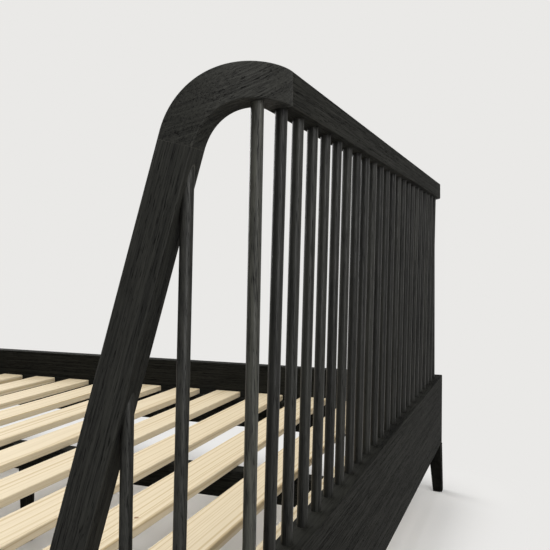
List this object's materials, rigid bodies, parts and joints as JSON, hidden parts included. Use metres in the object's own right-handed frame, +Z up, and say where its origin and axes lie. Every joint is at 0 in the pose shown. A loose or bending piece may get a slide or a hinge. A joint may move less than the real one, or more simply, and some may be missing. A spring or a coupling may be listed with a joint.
{
  "type": "spindle bed frame",
  "caption": "Black-stained wooden bed frame with a low spindle headboard whose crest rail bends forward into short raked wings; slatted bay for a 1600 x 2000 mm mattress.",
  "frame": {"origin": "on the floor, at the middle of the bed's length and width", "axes": "+X along the headboard, +Y from the headboard to the foot end, +Z up"},
  "size_m": [1.7218, 2.1219, 1.05],
  "materials": {
    "black_oak": "black-stained open-grain oak, satin",
    "slat_wood": "planed, unfinished",
    "inner_wood": "dark-stained, matt",
    "dowel_wood": "plain",
    "zinc_steel": "zinc plated"
  },
  "bodies": {
    "root": {"back_spindle_01": "black_oak", "back_spindle_02": "black_oak", "back_spindle_03": "black_oak", "back_spindle_04": "black_oak", "back_spindle_05": "black_oak", "back_spindle_06": "black_oak", "back_spindle_07": "black_oak", "back_spindle_08": "black_oak", "back_spindle_09": "black_oak", "back_spindle_10": "black_oak", "back_spindle_11": "black_oak", "back_spindle_12": "black_oak", "back_spindle_13": "black_oak", "back_spindle_14": "black_oak", "back_spindle_15": "black_oak", "back_spindle_16": "black_oak", "back_spindle_17": "black_oak", "back_spindle_18": "black_oak", "back_spindle_19": "black_oak", "back_spindle_20": "black_oak", "back_spindle_21": "black_oak", "back_spindle_22": "black_oak", "back_spindle_23": "black_oak", "back_spindle_24": "black_oak", "bracket_screws": "zinc_steel", "centre_beam": "inner_wood", "centre_leg": "black_oak", "corner_block_left": "black_oak", "corner_block_right": "black_oak", "corner_brackets": "zinc_steel", "crest_rail": "black_oak", "dowels": "dowel_wood", "foot_rail": "black_oak", "head_rail": "black_oak", "leg_front_left": "black_oak", "leg_front_right": "black_oak", "leg_rear_left": "black_oak", "leg_rear_right": "black_oak", "side_rail_left": "black_oak", "side_rail_right": "black_oak", "slat_01": "slat_wood", "slat_02": "slat_wood", "slat_03": "slat_wood", "slat_04": "slat_wood", "slat_05": "slat_wood", "slat_06": "slat_wood", "slat_07": "slat_wood", "slat_08": "slat_wood", "slat_09": "slat_wood", "slat_10": "slat_wood", "slat_11": "slat_wood", "slat_12": "slat_wood", "slat_ledge_left": "inner_wood", "slat_ledge_right": "inner_wood", "wing_post_left": "black_oak", "wing_post_right": "black_oak", "wing_spindle_left_1": "black_oak", "wing_spindle_left_2": "black_oak", "wing_spindle_right_1": "black_oak", "wing_spindle_right_2": "black_oak"}
  },
  "joints": []
}
